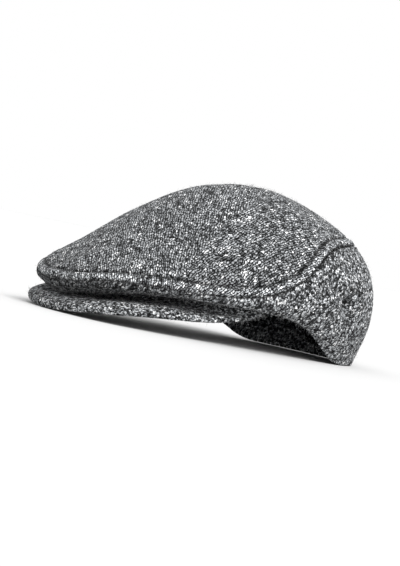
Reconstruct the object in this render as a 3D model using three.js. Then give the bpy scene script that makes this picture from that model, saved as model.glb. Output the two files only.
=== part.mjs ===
// Flat cap of marled wool, lying on a table by itself with its crown still round.
// Millimetres: X is the wearer's left, -Y the front, +Z up. The origin is on the table,
// under the middle of the cap.
import * as THREE from "three";

// The head that the cap fits, and the cloth that it is sewn from.
const HEAD_HALF_WIDTH = 80;
const HEAD_HALF_LENGTH = 98;
const CLOTH = 2.2;
const SEAM_GAP = 0.3;

// The crown's greatest half width, and how far it reaches forward and back from the
// middle of the head opening.
const CROWN_HALF_WIDTH = 95;
const CROWN_FRONT = 164;
const CROWN_BACK = 104;
const CROWN_HEIGHT = 121;

// Rings of the crown's outer face, from the head opening up to the top.
// front, back, half: reach of the ring's plan outline to -Y, to +Y and to each side.
// blunt, round: squareness of its front and back half, 2 for an ellipse.
// zFront, zSide, zBack: heights at the forehead, the temples and the nape.
// turn, level: angles from the front, in degrees, where the height leaves zSide and
// reaches zBack.
const RINGS = [
  { name: "opening", front: HEAD_HALF_LENGTH, back: 101, half: HEAD_HALF_WIDTH,
    blunt: 2, round: 2, zFront: 22, zSide: 31, zBack: 0, turn: 84, level: 124 },
  { name: "tuck", front: 130, back: 103, half: 86,
    blunt: 2.4, round: 2, zFront: 17, zSide: 30, zBack: 13, turn: 74, level: 125 },
  { name: "roll", front: 157, back: CROWN_BACK, half: 91,
    blunt: 2.8, round: 2.1, zFront: 13, zSide: 29.5, zBack: 31, turn: 66, level: 125 },
  { name: "bulge", front: CROWN_FRONT, back: 102, half: CROWN_HALF_WIDTH,
    blunt: 2.8, round: 2.1, zFront: 19.5, zSide: 33, zBack: 52, turn: 72, level: 130 },
  { name: "flank", front: 159, back: 95, half: 94,
    blunt: 2.6, round: 2, zFront: 32, zSide: 49, zBack: 74, turn: 80, level: 150 },
  { name: "shoulder", front: 146, back: 80, half: 86,
    blunt: 2.1, round: 2, zFront: 46, zSide: 73, zBack: 93, turn: 90, level: 170 },
  { name: "crest", front: 108, back: 50, half: 63,
    blunt: 2, round: 2, zFront: 79, zSide: 100, zBack: 109, turn: 90, level: 180 },
  { name: "cap", front: 60, back: 20, half: 34,
    blunt: 2, round: 2, zFront: 111, zSide: 115.5, zBack: 118.5, turn: 90, level: 180 },
];
const APEX = new THREE.Vector3(0, -18, CROWN_HEIGHT);
const BULGE_LEVEL = RINGS.findIndex((ring) => ring.name === "bulge");

// Height of the seam between the top and the sides, by angle from the front: low along
// the peak, then up behind the temple and level round the back.
const SEAM_LINE = [
  { angle: 0, z: 22 },
  { angle: 20, z: 25 },
  { angle: 40, z: 31.5 },
  { angle: 68, z: 35.5 },
  { angle: 80, z: 43 },
  { angle: 90, z: 61 },
  { angle: 99, z: 75 },
  { angle: 112, z: 85 },
  { angle: 135, z: 91 },
  { angle: 180, z: 92 },
];

// Dents and folds of the side's cloth, the same on both sides.
// angle, z: middle, by angle from the front and by height; long, wide: reach along the
// fold and across it; lean: degrees from level, rising to the back; depth: push inwards.
const FOLDS = [
  { name: "hollow", angle: 115, z: 47, long: 10, wide: 6, lean: 90, depth: 5 },
  { name: "upper fold", angle: 106, z: 57, long: 13, wide: 3.5, lean: -35, depth: 2.5 },
  { name: "lower fold", angle: 122, z: 38, long: 11, wide: 3.5, lean: 50, depth: 2.5 },
];

// Stations of the peak, from its middle to its corner at the temple.
// root: angle from the front, in degrees, where the station leaves the head opening.
// x, y: its outer edge in plan; z: underside of that edge; thick: board and its cover.
const PEAK_STATIONS = [
  { root: 0, x: 0, y: -168, z: 0, thick: 6 },
  { root: 15, x: 40, y: -161, z: 2.5, thick: 6 },
  { root: 30, x: 67, y: -144, z: 6.5, thick: 6 },
  { root: 43, x: 80, y: -115, z: 10.5, thick: 6 },
  { root: 55, x: 83, y: -80, z: 13.5, thick: 5.5 },
  { root: 67, x: 82, y: -48, z: 19, thick: 4.5 },
  { root: 76, x: 79.5, y: -22, z: 26.8, thick: 2.2 },
];
const PEAK_ROOT_THICK = 3;
const PEAK_ROOT_GAP = 0.5;
const PEAK_DIP = 3.5;

// Half of the gap at the seam, as a share of the way from ring to ring there.
const RING_SPACING = 15;
const SEAM_SHARE = SEAM_GAP / 2 / RING_SPACING;

// Spans of the crown's outline from the opening over the apex to the far side's last ring.
const MERIDIAN_SPANS = RINGS.length + 1;

// Steps in which the crown's direction is measured, by level and in degrees, and the times
// that the search for the seam halves the way that is left.
const LEVEL_STEP = 0.02;
const ANGLE_STEP = 1;
const HALVINGS = 30;

// How finely the faces are cut: segments round the crown, rows up its side and its top,
// sections along the peak, and steps over, round and under each section.
const AROUND = 64;
const SIDE_ROWS = 14;
const TOP_ROWS = 11;
const PEAK_SECTIONS = 48;
const PEAK_OVER_STEPS = 4;
const PEAK_ROUND_STEPS = 5;
const PEAK_UNDER_STEPS = 3;
const SAME_PLACE = 1e-6;

const TWEED = { color: 0x74777a, roughness: 0.95, metalness: 0 };

const smoothstep = (share) => {
  const s = THREE.MathUtils.clamp(share, 0, 1);
  return s * s * (3 - 2 * s);
};

// A point of one ring; angle runs from the front (0) past the wearer's left (90) to the
// back (180).
function ringPoint(ring, angle) {
  const sin = Math.sin(THREE.MathUtils.degToRad(angle));
  const cos = Math.cos(THREE.MathUtils.degToRad(angle));
  const ahead = cos > 0;
  const power = ahead ? ring.blunt : ring.round;
  const reach = ahead ? ring.front : ring.back;
  const spread = (Math.abs(sin) ** power + Math.abs(cos) ** power) ** (-1 / power);
  const turned = Math.abs(((angle + 180) % 360 + 360) % 360 - 180);
  const z = turned < ring.turn
    ? THREE.MathUtils.lerp(ring.zFront, ring.zSide, smoothstep(turned / ring.turn))
    : THREE.MathUtils.lerp(ring.zSide, ring.zBack,
      smoothstep((turned - ring.turn) / (ring.level - ring.turn)));
  return new THREE.Vector3(ring.half * sin * spread, -reach * cos * spread, z);
}

// The crown's outline from the opening to the apex at one angle. It runs on past the apex
// to the far side's last ring, so that the top is smooth.
const meridians = new Map();
function meridian(angle) {
  const key = angle.toFixed(6);
  if (!meridians.has(key)) {
    const points = RINGS.map((ring) => ringPoint(ring, angle));
    const over = ringPoint(RINGS[RINGS.length - 1], angle + 180);
    meridians.set(key, new THREE.CatmullRomCurve3([...points, APEX, over], false, "centripetal"));
  }
  return meridians.get(key);
}

// How far the folds push the cloth in at a point of the smooth crown.
function foldDepth(angle, point) {
  const turned = 180 - Math.abs(angle - 180);
  let depth = 0;
  for (const fold of FOLDS) {
    const along = THREE.MathUtils.degToRad(turned - fold.angle) * CROWN_HALF_WIDTH;
    const above = point.z - fold.z;
    const cos = Math.cos(THREE.MathUtils.degToRad(fold.lean));
    const sin = Math.sin(THREE.MathUtils.degToRad(fold.lean));
    const far = Math.hypot((along * cos + above * sin) / fold.long,
      (above * cos - along * sin) / fold.wide);
    depth += fold.depth * Math.exp(-far * far);
  }
  return depth;
}

// The crown's outer face: level counts the rings, 0 at the opening and RINGS.length at
// the apex.
function crownPoint(angle, level) {
  const point = meridian(angle).getPoint(level / MERIDIAN_SPANS);
  const inwards = new THREE.Vector3(-point.x, -point.y, 0).normalize();
  return point.addScaledVector(inwards, foldDepth(angle, point));
}

// The level of the seam at one angle, where the crown reaches the seam line's height.
const seamHeight = new THREE.CubicInterpolant(
  SEAM_LINE.map((row) => row.angle), SEAM_LINE.map((row) => row.z), 1);
seamHeight.settings = {
  endingStart: THREE.ZeroSlopeEnding,
  endingEnd: THREE.ZeroSlopeEnding,
};
function seamLevel(angle) {
  const [height] = seamHeight.evaluate(180 - Math.abs(180 - angle));
  let low = BULGE_LEVEL;
  let high = RINGS.length;
  for (let i = 0; i < HALVINGS; i++) {
    const middle = (low + high) / 2;
    if (meridian(angle).getPoint(middle / MERIDIAN_SPANS).z < height) low = middle;
    else high = middle;
  }
  return low;
}

function crownNormal(angle, level) {
  const high = Math.min(level + LEVEL_STEP, RINGS.length - LEVEL_STEP);
  const low = Math.max(high - 2 * LEVEL_STEP, 0);
  const middle = (high + low) / 2;
  const up = crownPoint(angle, high).sub(crownPoint(angle, low));
  const along = crownPoint(angle + ANGLE_STEP, middle).sub(crownPoint(angle - ANGLE_STEP, middle));
  return along.cross(up).normalize();
}

// The cloth's inner face behind a point of the outer one. The opening's edge is square to
// the cloth in front, and is cut level behind the temples, where the cap rests on it.
function innerPoint(angle, level) {
  const outer = crownPoint(angle, level);
  const inner = outer.clone().addScaledVector(crownNormal(angle, level), -CLOTH);
  if (level > 0) return inner;
  const rim = RINGS[0];
  const behind = smoothstep((180 - Math.abs(180 - angle) - rim.turn) / (rim.level - rim.turn));
  inner.z = THREE.MathUtils.lerp(inner.z, outer.z, behind);
  return inner;
}

// A mesh from a list of corner triples.
function meshOf(name, corners) {
  const geometry = new THREE.BufferGeometry().setFromPoints(corners);
  geometry.computeVertexNormals();
  const mesh = new THREE.Mesh(geometry, new THREE.MeshStandardMaterial(TWEED));
  mesh.name = name;
  return mesh;
}

// Two triangles for each cell of a grid of points, split along the shorter diagonal and
// facing a x b, where a runs along the rows and b from row to row. Corners that fall in
// one place leave one triangle or none.
function addGrid(corners, rows) {
  const addTriangle = (a, b, c) => {
    const shortest = Math.min(a.distanceTo(b), b.distanceTo(c), c.distanceTo(a));
    if (shortest > SAME_PLACE) corners.push(a, b, c);
  };
  for (let i = 0; i + 1 < rows.length; i++)
    for (let j = 0; j + 1 < rows[i].length; j++) {
      const [a, b, c, d] = [rows[i][j], rows[i][j + 1], rows[i + 1][j + 1], rows[i + 1][j]];
      if (a.distanceTo(c) < b.distanceTo(d)) {
        addTriangle(a, b, c);
        addTriangle(a, c, d);
      } else {
        addTriangle(a, b, d);
        addTriangle(b, c, d);
      }
    }
}

const flipped = (rows) => rows.map((row) => [...row].reverse());
const steps = (from, to, count) =>
  Array.from({ length: count + 1 }, (_, i) => from + ((to - from) * i) / count);

// Half of the crown's side, from the opening up to the seam: outer face, inner face and
// the four edges between them.
function sidePanel(name, from, to) {
  const angles = steps(from, to, AROUND / 2);
  const tops = angles.map((angle) => seamLevel(angle) - SEAM_SHARE);
  const sheet = (point) => steps(0, 1, SIDE_ROWS).map((share) =>
    angles.map((angle, i) => point(angle, tops[i] * share)));
  const outer = sheet(crownPoint);
  const inner = sheet(innerPoint);
  const corners = [];
  addGrid(corners, outer);
  addGrid(corners, flipped(inner));
  addGrid(corners, [inner[0], outer[0]]);
  addGrid(corners, [outer[SIDE_ROWS], inner[SIDE_ROWS]]);
  for (const [end, sheets] of [[0, [inner, outer]], [AROUND / 2, [outer, inner]]]) {
    const edges = sheets.map((rows) => rows.map((row) => row[end]));
    addGrid(corners, edges[0].map((point, i) => [point, edges[1][i]]));
  }
  return meshOf(name, corners);
}

// The crown's top, one piece of cloth from the seam to the apex.
function topPanel(name) {
  const angles = steps(0, 360, AROUND);
  const feet = angles.map((angle) => seamLevel(angle) + SEAM_SHARE);
  const sheet = (point) => steps(0, 1, TOP_ROWS).map((share) =>
    angles.map((angle, i) => point(angle, THREE.MathUtils.lerp(feet[i], RINGS.length, share))));
  const outer = sheet(crownPoint);
  const inner = sheet(innerPoint);
  const under = APEX.clone();
  under.z -= CLOTH;
  inner[TOP_ROWS].fill(under);
  const corners = [];
  addGrid(corners, outer);
  addGrid(corners, flipped(inner));
  addGrid(corners, [inner[0], outer[0]]);
  return meshOf(name, corners);
}

// The peak: a board covered with the same cloth, from the head opening to its rolled edge.
function peak(name) {
  const both = [...PEAK_STATIONS.slice(1).reverse().map((s) => ({ ...s, root: -s.root, x: -s.x })),
    ...PEAK_STATIONS];
  const edge = new THREE.CatmullRomCurve3(both.map((s) => new THREE.Vector3(s.x, s.y, s.z)));
  const other = new THREE.CatmullRomCurve3(both.map((s) => new THREE.Vector3(s.root, s.thick, 0)));
  const sections = steps(0, 1, PEAK_SECTIONS).map((share) => {
    const tip = edge.getPoint(share);
    const { x: root, y: thick } = other.getPoint(share);
    const seat = ringPoint(RINGS[0], root);
    seat.z -= PEAK_ROOT_GAP;
    const radius = thick / 2;
    const outward = new THREE.Vector3(tip.x - seat.x, tip.y - seat.y, 0).normalize();
    const centre = tip.clone().addScaledVector(outward, -radius);
    centre.z += radius;
    const round = steps(90, -90, PEAK_ROUND_STEPS).map((turn) => {
      const lean = THREE.MathUtils.degToRad(turn);
      const point = centre.clone().addScaledVector(outward, radius * Math.cos(lean));
      point.z += radius * Math.sin(lean);
      return point;
    });
    const rootThick = Math.min(PEAK_ROOT_THICK, thick);
    const low = seat.clone();
    low.z -= rootThick;
    const hollow = (from, to, count) => steps(0, 1, count).slice(1, -1).map((part) => {
      const point = from.clone().lerp(to, part);
      point.z -= PEAK_DIP * (thick / PEAK_STATIONS[0].thick) * Math.sin(Math.PI * part);
      return point;
    });
    return [seat, ...hollow(seat, round[0], PEAK_OVER_STEPS), ...round,
      ...hollow(round[PEAK_ROUND_STEPS], low, PEAK_UNDER_STEPS), low, seat];
  });
  const corners = [];
  addGrid(corners, sections);
  const fan = (section, turned) => {
    for (let i = 1; i + 2 < section.length; i++) {
      const triple = [section[0], section[i], section[i + 1]];
      corners.push(...(turned ? triple.reverse() : triple));
    }
  };
  fan(sections[0], true);
  fan(sections[sections.length - 1], false);
  return meshOf(name, corners);
}

const group = new THREE.Group();
const halfGap = THREE.MathUtils.radToDeg(Math.asin(SEAM_GAP / 2 / HEAD_HALF_WIDTH));
group.add(topPanel("crown_top"));
group.add(sidePanel("side_panel_left", halfGap, 180 - halfGap));
group.add(sidePanel("side_panel_right", 180 + halfGap, 360 - halfGap));
group.add(peak("peak"));

const box = new THREE.Box3().setFromObject(group);
group.position.y = -(box.min.y + box.max.y) / 2;

export default group;
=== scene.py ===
# A flat cap of grey marled wool, lying by itself on a pale table.
# The order is camera, table and light, then the cap as it is sewn: the top of the crown, its
# two sides and the peak, and last the wool's loose fibres. Metres, Z up, peak to -Y.
import math
import random

import bpy
import numpy as np
from mathutils import Matrix, Vector, noise
from mathutils.kdtree import KDTree


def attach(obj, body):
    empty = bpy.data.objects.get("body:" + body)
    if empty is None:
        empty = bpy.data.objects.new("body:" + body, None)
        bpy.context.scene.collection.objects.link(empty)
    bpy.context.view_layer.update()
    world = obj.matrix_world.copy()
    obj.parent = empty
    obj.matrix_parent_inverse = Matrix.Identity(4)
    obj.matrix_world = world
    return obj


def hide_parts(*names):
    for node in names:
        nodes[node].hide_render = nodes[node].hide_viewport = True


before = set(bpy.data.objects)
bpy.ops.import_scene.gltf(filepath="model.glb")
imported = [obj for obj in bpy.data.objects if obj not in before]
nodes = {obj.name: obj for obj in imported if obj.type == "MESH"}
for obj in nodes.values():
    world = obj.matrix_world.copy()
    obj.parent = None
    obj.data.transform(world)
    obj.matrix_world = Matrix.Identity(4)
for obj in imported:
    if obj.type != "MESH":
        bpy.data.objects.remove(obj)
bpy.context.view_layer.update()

scene = bpy.context.scene

# Camera
# It looks at the wearer's left side and a little of the front, almost level, from just above
# the table. It is rolled, as the cap was tilted when it was worn.
VIEW_AZIMUTH = math.radians(60)
VIEW_ELEVATION = math.radians(1)
VIEW_ROLL = math.radians(11.8)
VIEW_DISTANCE = 1.5
VIEW_TARGET = Vector((0, -0.007, 0.040))
VIEW_WIDTH = 0.308
NEAREST_SEEN = 0.1
PICTURE_PIXELS = (400, 566)

towards = Vector((
    math.sin(VIEW_AZIMUTH) * math.cos(VIEW_ELEVATION),
    -math.cos(VIEW_AZIMUTH) * math.cos(VIEW_ELEVATION),
    math.sin(VIEW_ELEVATION),
))
level = Vector((math.cos(VIEW_AZIMUTH), math.sin(VIEW_AZIMUTH), 0))
upright = towards.cross(level)
right = level * math.cos(VIEW_ROLL) + upright * math.sin(VIEW_ROLL)
up = upright * math.cos(VIEW_ROLL) - level * math.sin(VIEW_ROLL)

camera = bpy.data.objects.new("camera", bpy.data.cameras.new("camera"))
scene.collection.objects.link(camera)
view_height = VIEW_WIDTH * PICTURE_PIXELS[1] / PICTURE_PIXELS[0]
camera.data.lens = camera.data.sensor_width * VIEW_DISTANCE / view_height
camera.data.clip_start = NEAREST_SEEN
facing = Matrix((right, up, towards)).transposed().to_4x4()
camera.matrix_world = Matrix.Translation(VIEW_TARGET + towards * VIEW_DISTANCE) @ facing
scene.camera = camera

# Table and light
# A wide pale table under an even white sky, with a large soft light from high on the side of
# the camera and a weak one from low beside it.
TABLE_SIZE = 60
TABLE_SHADE = 0.5
TABLE_ROUGHNESS = 0.8
SKY_STRENGTH = 1.0
LIGHTS = (
    {"name": "high_light", "from": (1.0, 0.25, 1.3), "strength": 3.4, "spread": 35},
    {"name": "low_light", "from": (0.95, -0.35, 0.40), "strength": 1.6, "spread": 50},
)


def new_material(name, inputs):
    """A material with some of its shader's inputs set."""
    material = bpy.data.materials.new(name)
    material.use_nodes = True
    shader = material.node_tree.nodes["Principled BSDF"]
    for key, value in inputs.items():
        shader.inputs[key].default_value = value
    return material


def grey(shade):
    """An even grey, as a colour."""
    return (shade, shade, shade, 1)


scene.view_settings.view_transform = "Standard"
sky = bpy.data.worlds.new("white_sky")
sky.use_nodes = True
sky_light = sky.node_tree.nodes["Background"]
sky_light.inputs["Color"].default_value = grey(1)
sky_light.inputs["Strength"].default_value = SKY_STRENGTH
scene.world = sky
for row in LIGHTS:
    light = bpy.data.objects.new(row["name"], bpy.data.lights.new(row["name"], "SUN"))
    light.data.energy = row["strength"]
    light.data.angle = math.radians(row["spread"])
    light.rotation_euler = Vector(row["from"]).to_track_quat("Z", "Y").to_euler()
    scene.collection.objects.link(light)

bpy.ops.mesh.primitive_plane_add(size=TABLE_SIZE)
table = bpy.context.object
table.name = "table"
table_paint = {"Base Color": grey(TABLE_SHADE), "Roughness": TABLE_ROUGHNESS}
table.data.materials.append(new_material("pale_table", table_paint))

# Top of the crown
# One piece of marled wool, 2.2 mm thick. Its edge is turned in at the seam, pressed flat and
# stitched down 8.5 mm above it, which leaves a soft raised strip along the seam.
CLOTH = 0.0022
SAME_POINT = 1e-5
SHEET_TURN = math.radians(55)
QUAD_TURN = math.radians(60)
SHEET_LEVELS = 3
TURN_IN = 0.0013
STRIP = 0.0085
STRIP_RAISED = 0.0011
STITCH_SINK = 0.0010
STITCH_HALF_WIDTH = 0.0009
RIDGE = (Vector((0.020, -0.114, 0.044)), Vector((0.000, -0.130, 0.027)))
RIDGE_HEIGHT = 0.0016
RIDGE_HALF_WIDTH = 0.006
RIDGE_FADE = 0.8
# Width and height of the cloth's lumps.
LUMPS = ((0.030, 0.0007), (0.011, 0.0003), (0.0022, 0.0002))
# Pressed lines and strips: distance from the seam, half width, shade, and depth in reliefs.
# The shade is painted: painted shade in the seam's and stitches' grooves, painted light on the
# strip.
SEAM_LINE = ((0.0, 0.0023, 0.0, 2.5),)
STITCH_LINE = SEAM_LINE + ((STRIP, 0.0022, 0.05, 3.0), (STRIP / 2, 0.0036, 1.9, 0.0))
WANDER_SCALE = 180
WANDER_REACH = 0.0008
BREAK_SCALE = 60
BREAK_NOISE = (0.35, 0.6)
BREAK_LEAST = 0.5
# The colour left at the darkest of the painted shade in the folds and along the peak.
DARKEST_PAINTED_SHADE = 0.3
# The strands run another way behind a slanting line, which passes this point on either side.
ZONE_X = 0.045
ZONE_Y = -0.003
ZONE_SLANT = -1.9
ZONE_BLEND = 0.012
TOP_GRAINS = (128, -15)
TOP_RELIEF = 0.00022
# Strands in rows, each row set on by half a strand and a random part of one.
ROW_WIDTH = 0.0018
STRAND_LENGTH = 0.0030
ROW_STEP = 0.5
STRAND_BLUNTNESS = 3.0
STRAND_EDGE = (0.25, 0.75)
STRAND_ROUGHNESS = 0.86
# Painted shade in the gaps between strands: the colour falls to this there.
PAINTED_GAP_SHADE = 0.02
# The fuzz of single fibres, which frays the strands and marks their tone.
FUZZ_SCALE = 1100
FUZZ_FRAYING = 0.9
FUZZ_TONE = 0.7
FUZZ_HEIGHT = 0.4
# Scale and weight of the mottling.
MOTTLING = ((70, 0.35), (190, 1.2), (420, 1.2))
# The top's tones are darker than the sides': painted shade for the top, which gets most of the
# high light.
# Wavers have a scale and a reach, and tones a stop and a shade, from dark to pale.
WOVEN_LOOK = {
    "wavers": ((30, 0.004), (250, 0.0036), (900, 0.0018)),
    "contrast": 0.5,
    "tones": ((0.0, 0.01), (0.28, 0.09), (0.5, 0.275), (0.72, 0.36), (1.0, 0.375)),
}
MIDDLE_TONE = 0.5
COOLNESS = 0.035
WOOL_SURFACE = {"Specular IOR Level": 0.06, "Sheen Weight": 0.03, "Sheen Roughness": 0.6}


def only(piece):
    """Selects one object and nothing else."""
    bpy.ops.object.select_all(action="DESELECT")
    piece.select_set(True)
    bpy.context.view_layer.objects.active = piece


def welded_copy(node, name):
    """A plain copy of a CAD node, joined at its corners and left in edit mode, all selected."""
    piece = nodes[node].copy()
    piece.data = piece.data.copy()
    piece.name = name
    for key in list(piece.keys()):
        del piece[key]
    piece.parent = None
    scene.collection.objects.link(piece)
    only(piece)
    bpy.ops.object.mode_set(mode="EDIT")
    bpy.ops.mesh.select_mode(type="FACE")
    bpy.ops.mesh.select_all(action="SELECT")
    bpy.ops.mesh.remove_doubles(threshold=SAME_POINT)
    return piece


def lay_flat(piece, axes, cut_from):
    """Scales a sheet's map to the cloth's own size, and turns it to follow two of X, Y and Z."""
    mesh = piece.data
    layer = mesh.uv_layers.active
    flat = np.array([item.uv for item in layer.data])
    area = 0
    for face in mesh.polygons:
        x, y = flat[list(face.loop_indices)].T
        area += abs(np.dot(x, np.roll(y, -1)) - np.dot(y, np.roll(x, -1))) / 2
    flat *= math.sqrt(sum(face.area for face in mesh.polygons) / area)
    flat -= flat.mean(axis=0)
    places = np.array([mesh.vertices[loop.vertex_index].co for loop in mesh.loops])[:, axes]
    first, _, last = np.linalg.svd(flat.T @ (places - places.mean(axis=0)))
    flat = flat @ first @ last
    for item, place in zip(layer.data, flat + cut_from):
        item.uv = place
    piece["flat_size"] = [float(x) for x in np.ptp(flat, axis=0)]


def finer(piece, levels):
    """Rounds a piece by subdivision, and keeps the corners of a sheet."""
    only(piece)
    rounder = piece.modifiers.new("rounder", "SUBSURF")
    rounder.levels = rounder.render_levels = levels
    rounder.boundary_smooth = "PRESERVE_CORNERS"
    bpy.ops.object.modifier_apply(modifier="rounder")


def cut_panel(node, towards_seed, axes, cut_from=(0, 0)):
    """The outer face of a cloth node, as a smooth open sheet with a flat map along two axes.

    cut_from is the place in the cloth that the panel's middle was cut from.
    """
    piece = welded_copy(node, node + "_cloth")
    bpy.ops.mesh.select_all(action="DESELECT")
    bpy.ops.object.mode_set(mode="OBJECT")
    seed = max(piece.data.polygons, key=lambda face: face.center.dot(towards_seed))
    seed.select = True
    bpy.ops.object.mode_set(mode="EDIT")
    bpy.ops.mesh.faces_select_linked_flat(sharpness=SHEET_TURN)
    bpy.ops.mesh.select_all(action="INVERT")
    bpy.ops.mesh.delete(type="FACE")
    bpy.ops.mesh.select_all(action="SELECT")
    bpy.ops.mesh.tris_convert_to_quads(face_threshold=QUAD_TURN, shape_threshold=QUAD_TURN)
    bpy.ops.uv.unwrap(method="MINIMUM_STRETCH", margin=0)
    bpy.ops.object.mode_set(mode="OBJECT")
    lay_flat(piece, axes, cut_from)
    finer(piece, SHEET_LEVELS)
    piece["flat_area"] = sum(face.area for face in piece.data.polygons)
    return piece


def edge_places(piece, wanted):
    """The points on a sheet's open edge for which wanted(place) is true."""
    mesh = piece.data
    uses = np.zeros(len(mesh.edges), int)
    np.add.at(uses, [loop.edge_index for loop in mesh.loops], 1)
    ends = {v for edge in mesh.edges if uses[edge.index] == 1 for v in edge.vertices}
    places = [mesh.vertices[v].co.copy() for v in sorted(ends)]
    return [place for place in places if wanted(place)]


def distance_to(places):
    """A function that gives the distance from a place to the nearest of these."""
    finder = KDTree(len(places))
    for i, place in enumerate(places):
        finder.insert(place, i)
    finder.balance()
    return lambda place: finder.find(place)[2]


def turned_in(distance, radius):
    """How far a cloth's edge is turned in, at a distance from the edge."""
    if distance >= radius:
        return 0
    return -radius * (1 - math.sqrt(1 - (1 - distance / radius) ** 2))


def bump(distance, half_width):
    """1 in the middle, falling to 0 as a bell does."""
    return math.exp(-((distance / half_width) ** 2))


def lumps(place):
    """The soft unevenness of cloth that nothing fills."""
    return sum(high * noise.noise(place / wide) for wide, high in LUMPS)


def mark(piece, name, measure):
    """Stores measure(place) at each point of a piece, for the shader."""
    layer = piece.data.attributes.new(name, "FLOAT", "POINT")
    layer.data.foreach_set("value", [measure(v.co) for v in piece.data.vertices])


def press(piece, rise):
    """Moves each point of a piece along its normal, by rise(place)."""
    moves = [(v, v.normal * rise(v.co)) for v in piece.data.vertices]
    for v, move in moves:
        v.co += move
    piece.data.update()


def finish_cloth(piece, node, material):
    """Gives a sheet its thickness on the inner side, and says what it is."""
    only(piece)
    wall = piece.modifiers.new("cloth", "SOLIDIFY")
    wall.thickness = CLOTH
    wall.offset = -1
    bpy.ops.object.modifier_apply(modifier="cloth")
    bpy.ops.object.shade_smooth()
    piece.data.materials.clear()
    piece.data.materials.append(material)
    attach(piece, "root")
    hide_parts(node)


def add(tree, kind, inputs=None, **settings):
    """A shader node, with its inputs by name or number: values, or sockets to link."""
    made = tree.nodes.new(kind)
    for name, value in settings.items():
        setattr(made, name, value)
    for key, value in (inputs or {}).items():
        if isinstance(value, bpy.types.NodeSocket):
            tree.links.new(value, made.inputs[key])
        else:
            made.inputs[key].default_value = value
    return made


def calc(tree, operation, a, b=0.0, c=0.0):
    """A calculation with numbers or sockets."""
    return add(tree, "ShaderNodeMath", {0: a, 1: b, 2: c}, operation=operation).outputs[0]


def triple(tree, x, y, z=0.0):
    """Three numbers or sockets as a place."""
    return add(tree, "ShaderNodeCombineXYZ", {0: x, 1: y, 2: z}).outputs[0]


def swayed(tree, value, wave, weight):
    """A value moved down and up by a wave that runs from 0 to 1."""
    return calc(tree, "MULTIPLY_ADD", calc(tree, "SUBTRACT", wave, 0.5), weight, value)


def eased(tree, value, start, end, low, high, kind="LINEAR"):
    """Goes from low to high while a value goes from start to end."""
    inputs = {0: value, 1: start, 2: end, 3: low, 4: high}
    return add(tree, "ShaderNodeMapRange", inputs, interpolation_type=kind).outputs[0]


def shaded(tree, color, shade, share=1.0):
    """A colour multiplied by a shade, in full or by a share."""
    made = add(tree, "ShaderNodeMix", {0: share, 6: color, 7: shade}, data_type="RGBA",
               blend_type="MULTIPLY")
    return made.outputs[2]


def cloudy(tree, place, scale, detail=1.0, output="Fac"):
    """Cloudy noise, at a number of clouds to the metre."""
    made = add(tree, "ShaderNodeTexNoise", {"Vector": place, "Scale": scale, "Detail": detail})
    return made.outputs[output]


def waver(tree, place, scale, reach):
    """A place moved at random, by up to half of reach each way."""
    wave = cloudy(tree, place, scale, output="Color")
    wave = add(tree, "ShaderNodeVectorMath", {0: wave, 1: (0.5,) * 3}, operation="SUBTRACT")
    made = add(tree, "ShaderNodeVectorMath", {0: wave.outputs[0], 1: (reach,) * 3, 2: place},
               operation="MULTIPLY_ADD")
    return made.outputs[0]


def turned(tree, place, angle):
    """X, Y and Z of a place after a turn round Z."""
    made = add(tree, "ShaderNodeVectorRotate", {"Vector": place, "Angle": angle},
               rotation_type="Z_AXIS")
    return add(tree, "ShaderNodeSeparateXYZ", {0: made.outputs[0]}).outputs


def from_middle_of_cell(tree, value):
    """-1 to 1 between whole numbers, 0 halfway."""
    return calc(tree, "MULTIPLY_ADD", calc(tree, "FRACT", value), 2.0, -1.0)


def rows(tree, place, angle):
    """Distance from the middle of a strand, and its tone, in rows of strands."""
    x, y, _ = turned(tree, place, angle)
    across = calc(tree, "DIVIDE", x, ROW_WIDTH)
    row = calc(tree, "FLOOR", across)
    start = add(tree, "ShaderNodeTexWhiteNoise", {"W": row}, noise_dimensions="1D")
    along = calc(tree, "MULTIPLY_ADD", row, ROW_STEP, calc(tree, "DIVIDE", y, STRAND_LENGTH))
    along = calc(tree, "ADD", along, start.outputs["Value"])
    strand = triple(tree, row, calc(tree, "FLOOR", along))
    tone = add(tree, "ShaderNodeTexWhiteNoise", {"Vector": strand}, noise_dimensions="2D")
    beside = from_middle_of_cell(tree, across)
    beyond = calc(tree, "ABSOLUTE", from_middle_of_cell(tree, along))
    beyond = calc(tree, "POWER", beyond, STRAND_BLUNTNESS)
    off = triple(tree, beside, beyond)
    distance = add(tree, "ShaderNodeVectorMath", {0: off}, operation="LENGTH")
    return distance.outputs["Value"], tone.outputs["Value"]


def woven_strands(tree, place, given):
    """Rows of strands in two directions, which "Zone" shares out."""
    pairs = zip(rows(tree, place, given["Grain"]), rows(tree, place, given["Other grain"]))
    mixed = [add(tree, "ShaderNodeMix", {0: given["Zone"], 2: first, 3: second}, data_type="FLOAT")
             for first, second in pairs]
    return [made.outputs[0] for made in mixed]


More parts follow.
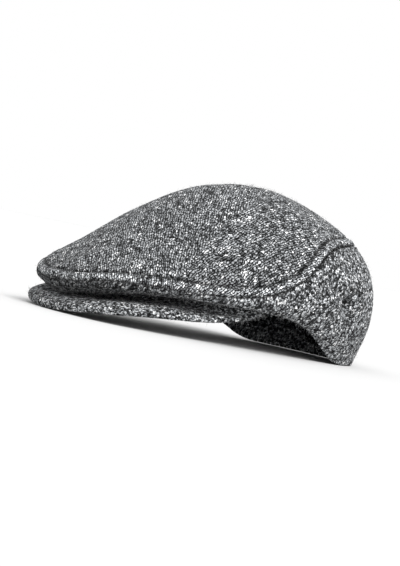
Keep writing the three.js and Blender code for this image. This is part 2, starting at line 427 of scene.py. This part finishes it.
def marled_wool(name, strands, look):
    """Shader group: the wool's colour, height and roughness at a place on the cloth, in metres.

    strands() gives the distance from the middle of a strand, and its tone.
    """
    tree = bpy.data.node_groups.new(name, "ShaderNodeTree")
    for title, kind in (("Place", "NodeSocketVector"), ("Grain", "NodeSocketFloat"),
                        ("Other grain", "NodeSocketFloat"), ("Zone", "NodeSocketFloat")):
        tree.interface.new_socket(title, in_out="INPUT", socket_type=kind)
    for title, kind in (("Color", "NodeSocketColor"), ("Height", "NodeSocketFloat"),
                        ("Roughness", "NodeSocketFloat")):
        tree.interface.new_socket(title, in_out="OUTPUT", socket_type=kind)
    given = tree.nodes.new("NodeGroupInput").outputs
    place = given["Place"]
    for scale, reach in look["wavers"]:
        place = waver(tree, place, scale, reach)
    distance, tone = strands(tree, place, given)
    fuzz = cloudy(tree, given["Place"], FUZZ_SCALE)
    distance = swayed(tree, distance, fuzz, FUZZ_FRAYING)
    tone = swayed(tree, MIDDLE_TONE, tone, look["contrast"])
    tone = swayed(tree, tone, fuzz, FUZZ_TONE)
    for scale, weight in MOTTLING:
        tone = swayed(tree, tone, cloudy(tree, place, scale, detail=2.0), weight)
    ramp = add(tree, "ShaderNodeValToRGB", {0: tone})
    for stop, shade in look["tones"]:
        spot = ramp.color_ramp.elements.new(stop)
        spot.color = (shade * (1 - COOLNESS), shade, shade * (1 + COOLNESS), 1)
    ramp.color_ramp.elements.remove(ramp.color_ramp.elements[0])
    ramp.color_ramp.elements.remove(ramp.color_ramp.elements[-1])
    # Painted shade: the colour darkens from the middle of a strand to the gap beside it.
    strand = eased(tree, distance, *STRAND_EDGE, 1.0, PAINTED_GAP_SHADE)
    color = shaded(tree, ramp.outputs[0], strand)
    height = calc(tree, "MULTIPLY_ADD", fuzz, FUZZ_HEIGHT, strand)
    rough = eased(tree, strand, 0.0, 1.0, 1.0, STRAND_ROUGHNESS)
    add(tree, "NodeGroupOutput", {0: color, 1: height, 2: rough})
    return tree


def marked(tree, name):
    """What mark() stored under a name, or 0."""
    return add(tree, "ShaderNodeAttribute", attribute_name=name).outputs["Fac"]


def wool(name, cloth_group, source, grains, relief, lines):
    """A material of marled wool, with pressed lines that wander a little and come and go.

    source is "UV" for a panel's flat map and "Object" for the piece's own shape. grains are the
    directions of the strands, in degrees.
    """
    material = new_material(name, WOOL_SURFACE)
    tree = material.node_tree
    place = tree.nodes.new("ShaderNodeTexCoord").outputs[source]
    cloth = add(tree, "ShaderNodeGroup", node_tree=cloth_group)
    tree.links.new(place, cloth.inputs["Place"])
    tree.links.new(marked(tree, "zone"), cloth.inputs["Zone"])
    for title, angle in zip(("Grain", "Other grain"), grains):
        cloth.inputs[title].default_value = math.radians(angle)
    color = cloth.outputs["Color"]
    height = cloth.outputs["Height"]
    wander = cloudy(tree, place, WANDER_SCALE)
    from_seam = calc(tree, "MULTIPLY_ADD", wander, WANDER_REACH, marked(tree, "from_seam"))
    breaks = cloudy(tree, place, BREAK_SCALE, detail=2.0)
    there = eased(tree, breaks, *BREAK_NOISE, BREAK_LEAST, 1.0)
    # Painted shade in each pressed groove, and painted light on the raised strip.
    for distance, half_width, shade, depth in lines:
        off = calc(tree, "ABSOLUTE", calc(tree, "SUBTRACT", from_seam, distance))
        tint = eased(tree, off, 0.0, half_width, shade, 1.0, "SMOOTHSTEP")
        sink = eased(tree, off, 0.0, half_width, depth, 0.0, "SMOOTHSTEP")
        color = shaded(tree, color, tint, there)
        height = calc(tree, "SUBTRACT", height, sink)
    # Painted shade in the folds and along the peak, as mark() stored it for the side panels.
    color = shaded(tree, color, eased(tree, marked(tree, "painted_shade"), 0.0, 1.0, 1.0, DARKEST_PAINTED_SHADE))
    raised = add(tree, "ShaderNodeBump", {"Distance": relief, "Height": height})
    shader = tree.nodes["Principled BSDF"]
    tree.links.new(color, shader.inputs["Base Color"])
    tree.links.new(cloth.outputs["Roughness"], shader.inputs["Roughness"])
    tree.links.new(raised.outputs[0], shader.inputs["Normal"])
    return material


top = cut_panel("crown_top", Vector((0, 0, 1)), [0, 1])
from_top_edge = distance_to(edge_places(top, lambda place: True))


def strip_rise(distance):
    """The raised strip along the seam, with the sunk line of stitches at its far side."""
    rise = turned_in(distance, TURN_IN)
    if distance < STRIP:
        rise += STRIP_RAISED * math.sin(math.pi * distance / STRIP)
    return rise - STITCH_SINK * bump(distance - STRIP, STITCH_HALF_WIDTH)


def top_rise(place):
    """The strip along the seam, the soft ridge over the forehead, and the cloth's unevenness."""
    start, end = RIDGE
    share = (place - start).dot(end - start) / (end - start).length_squared
    ridge = RIDGE_HEIGHT * bump((place - start.lerp(end, share)).length, RIDGE_HALF_WIDTH)
    ridge *= bump(max(-share, share - 1, 0), RIDGE_FADE)
    return strip_rise(from_top_edge(place)) + ridge + lumps(place)


def behind(place):
    """0 on the front of the top, 1 behind a slanting line over it."""
    share = (place.y - ZONE_Y + (ZONE_X - abs(place.x)) * ZONE_SLANT) / ZONE_BLEND + 0.5
    share = min(max(share, 0), 1)
    return share * share * (3 - 2 * share)


mark(top, "from_seam", from_top_edge)
press(top, top_rise)
mark(top, "zone", behind)
woven_wool = marled_wool("woven_wool", woven_strands, WOVEN_LOOK)
top_wool = wool("top_wool", woven_wool, "UV", TOP_GRAINS, TOP_RELIEF, STITCH_LINE)
finish_cloth(top, "crown_top", top_wool)

# Sides of the crown
# A left and a right panel of the same cloth. Each runs narrow along the peak and high round
# the back, is seamed to the other in the middle, and its rim is turned up inside.
RIM_TURN = 0.0014
SEAM_REACH = 0.002
MIDDLE_REACH = 0.0008
SEAM_LAP = 0.0008
LAP_REACH = 0.004
HEM_FROM = -0.015
CROWN_MIDDLE = 0.032
CROWN_RADIUS = 0.095
SIDE_DENTS = (
    {"angle": 116, "z": 0.047, "long": 0.008, "wide": 0.0045, "lean": 80, "depth": 0.006},
    {"angle": 106.5, "z": 0.056, "long": 0.009, "wide": 0.0025, "lean": -22, "depth": 0.0024},
    {"angle": 120, "z": 0.0535, "long": 0.008, "wide": 0.0025, "lean": 63, "depth": 0.0024},
    {"angle": 122.5, "z": 0.038, "long": 0.007, "wide": 0.0025, "lean": 42, "depth": 0.0024},
)
# Dents this deep take the darkest painted shade.
DEEPEST_FOLD = 0.006
# Degrees from the middle of the front at which a panel leaves the peak, and how many of them
# it takes to fade out.
FRONT_END = 55
FRONT_FADE = 35
UNDERCUT = 0.0015
UNDERCUT_REACH = 0.007
UNDERCUT_FULL = 0.015
CUT_FROM = {"left": (0.0, 0.0), "right": (0.43, 0.27)}
CURL_WIDTH = 0.0013
CURL_LENGTH = 0.0021
CURL_THINNESS = 1.1
SIDE_GRAIN = 30
SIDE_RELIEF = 0.0008
# Paler than the top's tones: painted light, which lifts the sides and the peak, which get less of
# the
# high light, and makes up for the curls' wider dark gaps.
LOOSE_LOOK = {
    "wavers": ((30, 0.004), (500, 0.0026)),
    "contrast": 0.8,
    "tones": ((0.0, 0.015), (0.28, 0.10), (0.5, 0.37), (0.75, 0.62), (1.0, 0.76)),
}


def on_upper_edge(place):
    """True on the edge that is sewn to the top of the crown."""
    return from_top_edge(place) < SEAM_REACH


def on_middle_edge(place):
    """True on the edges that are sewn to the other side panel."""
    return abs(place.x) < MIDDLE_REACH


def on_rim(place):
    """True on the edge round the head opening."""
    return not on_upper_edge(place) and not on_middle_edge(place)


def turn_from_front(place):
    """Angle of a place from the front, round the middle of the crown."""
    return math.atan2(abs(place.x), CROWN_MIDDLE - place.y)


def dents(place):
    """How far the folds push the cloth in; their angles are from the front."""
    depth = 0
    for row in SIDE_DENTS:
        lean = math.radians(row["lean"])
        along = (turn_from_front(place) - math.radians(row["angle"])) * CROWN_RADIUS
        above = place.z - row["z"]
        lengthwise = (along * math.cos(lean) + above * math.sin(lean)) / row["long"]
        crosswise = (above * math.cos(lean) - along * math.sin(lean)) / row["wide"]
        depth += row["depth"] * bump(math.hypot(lengthwise, crosswise), 1)
    return depth


def along_peak(place):
    """1 in front, where a panel runs along the peak, and 0 from the temple back."""
    turn = math.degrees(turn_from_front(place))
    return min(max((FRONT_END - turn) / FRONT_FADE, 0), 1)


def painted_shade_amount(place):
    """How much shade is painted into the cloth: darkest at the bottom of the folds and along the
    peak.
    """
    return min(dents(place) / DEEPEST_FOLD + along_peak(place), 1)


def curled_strands(tree, place, given):
    """Distance from the middle of a strand, and its tone, in curled strands with no rows."""
    x, y, z = turned(tree, place, given["Grain"])
    cell = triple(tree, calc(tree, "DIVIDE", x, CURL_WIDTH), calc(tree, "DIVIDE", y, CURL_LENGTH),
                  calc(tree, "DIVIDE", z, CURL_WIDTH))
    curl = add(tree, "ShaderNodeTexVoronoi", {"Vector": cell, "Scale": 1.0})
    tone = add(tree, "ShaderNodeSeparateColor", {0: curl.outputs["Color"]}).outputs[0]
    return calc(tree, "MULTIPLY", curl.outputs["Distance"], CURL_THINNESS), tone


loose_wool = marled_wool("loose_wool", curled_strands, LOOSE_LOOK)
panels = []
rim_places = []
for side, sign in (("left", 1), ("right", -1)):
    node = "side_panel_" + side
    panel = cut_panel(node, Vector((sign, 0, 0)), [1, 2], CUT_FROM[side])
    rim = edge_places(panel, on_rim)
    from_rim = distance_to(rim)
    from_above = distance_to(edge_places(panel, on_upper_edge))
    from_middle = distance_to(edge_places(panel, on_middle_edge))

    def from_seams(place):
        """Distance from the nearest of the panel's sewn edges."""
        return min(from_above(place), from_middle(place))

    def seam_lap(place):
        """How far the sewn edges move, up and to the middle, to lie against the next panel."""
        upwards = max(1 - from_above(place) / LAP_REACH, 0)
        across = max(1 - from_middle(place) / LAP_REACH, 0)
        return Vector((-sign * across, 0, upwards)) * SEAM_LAP

    def side_rise(place):
        """The panel's edges turned in, its folds, its undercut and the cloth's unevenness."""
        hem = turned_in(from_rim(place), RIM_TURN) if place.y > HEM_FROM else 0
        below = min(from_above(place) / UNDERCUT_REACH, from_rim(place) / UNDERCUT_FULL, 1)
        under = UNDERCUT * along_peak(place) * below
        return turned_in(from_seams(place), TURN_IN) + hem + lumps(place) - dents(place) - under

    mark(panel, "from_seam", from_seams)
    # Painted shade: the cloth is painted darker in its folds and along the peak.
    mark(panel, "painted_shade", painted_shade_amount)
    laps = [seam_lap(v.co) for v in panel.data.vertices]
    press(panel, side_rise)
    for v, lap in zip(panel.data.vertices, laps):
        v.co += lap
    panels.append(panel)
    rim_places += rim
    side_wool = wool(side + "_wool", loose_wool, "UV", (SIDE_GRAIN,), SIDE_RELIEF, SEAM_LINE)
    finish_cloth(panel, node, side_wool)

# Peak
# A stiff board covered with the same cloth above and below, which is drawn round its edge.
# It is sewn into the front of the rim.
PEAK_LEVELS = 3
PEAK_LUMPS = 0.5
PEAK_GRAIN = 20
PEAK_RELIEF = 0.0006
ROOT_BAND = 0.009
ROOT_LIFT = 0.0036
EDGE_STEEP = 0.3
PADDING = 0.0048
PADDING_REACH = 0.007
PADDING_FULL = 0.040

peak = welded_copy("peak", "peak_cover")
bpy.ops.mesh.tris_convert_to_quads(face_threshold=QUAD_TURN, shape_threshold=QUAD_TURN)
bpy.ops.object.mode_set(mode="OBJECT")
finer(peak, PEAK_LEVELS)
press(peak, lambda place: lumps(place) * PEAK_LUMPS)
steep = [v.co.copy() for v in peak.data.vertices if abs(v.normal.z) < EDGE_STEEP]
from_outer_edge = distance_to(steep)
from_front_rim = distance_to(rim_places)


def peak_rise(v):
    """The padding on the peak, which grows from its outer edge, and its root drawn to the rim."""
    from_root = from_front_rim(v.co)
    root = ROOT_LIFT * max(1 - from_root / ROOT_BAND, 0)
    if v.normal.z < EDGE_STEEP:
        return root
    padding = PADDING * (1 - bump(from_outer_edge(v.co), PADDING_REACH))
    return root + padding * min(from_root / PADDING_FULL, 1)


rises = [peak_rise(v) for v in peak.data.vertices]
for v, rise in zip(peak.data.vertices, rises):
    v.co.z += rise
bpy.ops.object.shade_smooth()
peak.data.materials.clear()
peak.data.materials.append(wool("peak_wool", loose_wool, "Object", (PEAK_GRAIN,), PEAK_RELIEF, ()))
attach(peak, "root")
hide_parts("peak")

# Loose fibres
# Fine wool hairs stand out of the cloth all over, a millimetre or two, which blurs its
# outline. They are part of the cloth, caught in the yarn at one end.
FIBRES = 6500
FIBRE_SEED = 5
FIBRE_RADIUS = 0.00005
FIBRE_LENGTH = (0.0015, 0.0042)
FIBRE_STAND = (0.15, 0.8)
FIBRE_CURL = 0.45
FIBRE_SPANS = 3
FIBRE_SHADE = 0.30
FIBRE_ROUGHNESS = 0.9
FIBRE_SPECULAR = 0.1

random.seed(FIBRE_SEED)
hairs = bpy.data.curves.new("loose_fibres", "CURVE")
hairs.dimensions = "3D"
hairs.bevel_depth = FIBRE_RADIUS
hairs.bevel_resolution = 0
# No fibre starts where it could reach the table.
outsides = [(v.co, v.normal) for piece in (top, *panels, peak) for v in piece.data.vertices
            if v.co.z > FIBRE_LENGTH[1] + CLOTH]
for _ in range(FIBRES):
    place, outwards = random.choice(outsides)
    lean = Vector([random.gauss(0, 1) for _ in range(3)])
    lean = (lean - outwards * lean.dot(outwards)).normalized()
    heading = (lean + outwards * random.uniform(*FIBRE_STAND)).normalized()
    step = random.uniform(*FIBRE_LENGTH) / FIBRE_SPANS
    place = place + Vector([random.uniform(-CLOTH, CLOTH) / 2 for _ in range(3)]).cross(outwards)
    strand = hairs.splines.new("POLY")
    strand.points.add(FIBRE_SPANS)
    for point in strand.points:
        point.co = (*place, 1)
        place = place + heading * step
        twist = Vector([random.gauss(0, FIBRE_CURL) for _ in range(3)])
        heading = (heading + twist).normalized()
fibres = bpy.data.objects.new("loose_fibres", hairs)
scene.collection.objects.link(fibres)
only(fibres)
bpy.ops.object.convert(target="MESH")
fibres = bpy.context.object
fibre_paint = {
    "Base Color": grey(FIBRE_SHADE),
    "Roughness": FIBRE_ROUGHNESS,
    "Specular IOR Level": FIBRE_SPECULAR,
}
fibres.data.materials.append(new_material("fibre_wool", fibre_paint))
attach(fibres, "root")
